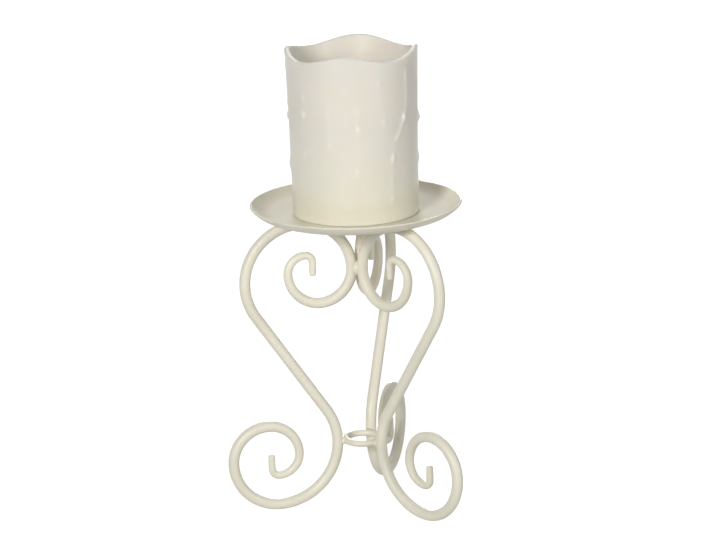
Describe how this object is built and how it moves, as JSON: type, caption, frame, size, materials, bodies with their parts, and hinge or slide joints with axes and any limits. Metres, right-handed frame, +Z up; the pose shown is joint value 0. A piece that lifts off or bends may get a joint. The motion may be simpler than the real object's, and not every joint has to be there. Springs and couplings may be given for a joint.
{
  "type": "candle holder",
  "caption": "Cream scroll-leg rod stand with a shallow round dish, a ring at its waist and a flameless pillar candle with a wavy hollow top standing on the dish.",
  "frame": {"origin": "on the holder's upright axis, at the level of the table under the three feet", "axes": "+Z up, +Y towards the rear leg, +X to the right as seen with the rear leg behind"},
  "size_m": [0.1458, 0.1467, 0.2817],
  "materials": {
    "cream_paint": "semi-gloss cream enamel on mild steel",
    "ivory_wax": "ivory wax with a soft sheen",
    "unit_plastic": "moulded, fine satin",
    "contact_metal": "nickel-plated steel",
    "cell_jacket": "plain dark jacket",
    "board_laminate": "green solder resist",
    "lamp_resin": "diffused warm resin",
    "switch_plastic": "black moulded plastic"
  },
  "bodies": {
    "holder": {"dish": "cream_paint", "leg_rear": "cream_paint", "leg_left": "cream_paint", "leg_right": "cream_paint", "waist_ring": "cream_paint", "dish_welds": "cream_paint", "ring_welds": "cream_paint", "scroll_weld": "cream_paint"},
    "candle": {"wax_shell": "ivory_wax", "light_housing": "unit_plastic", "base_plate": "unit_plastic", "battery_left": "cell_jacket", "battery_right": "cell_jacket", "contact_plate": "contact_metal", "contact_spring": "contact_metal", "circuit_board": "board_laminate", "board_screws": "contact_metal", "led": "lamp_resin", "switch_body": "switch_plastic"},
    "cap": {"battery_cap": "unit_plastic", "bridge_contact": "contact_metal"},
    "switch": {"switch_slider": "switch_plastic"}
  },
  "joints": [
    {"name": "candle_lift", "type": "slide", "parent": "holder", "child": "candle", "axis": [0, 0, 1], "range_m": [0, 0.06]},
    {"name": "battery_cap_twist", "type": "hinge", "parent": "candle", "child": "cap", "pos_m": [0, 0, 0.1842], "axis": [0, 0, -1], "range_deg": [0, 40]},
    {"name": "switch_slide", "type": "slide", "parent": "candle", "child": "switch", "axis": [1, 0, 0], "range_m": [-0.002, 0.002]}
  ]
}
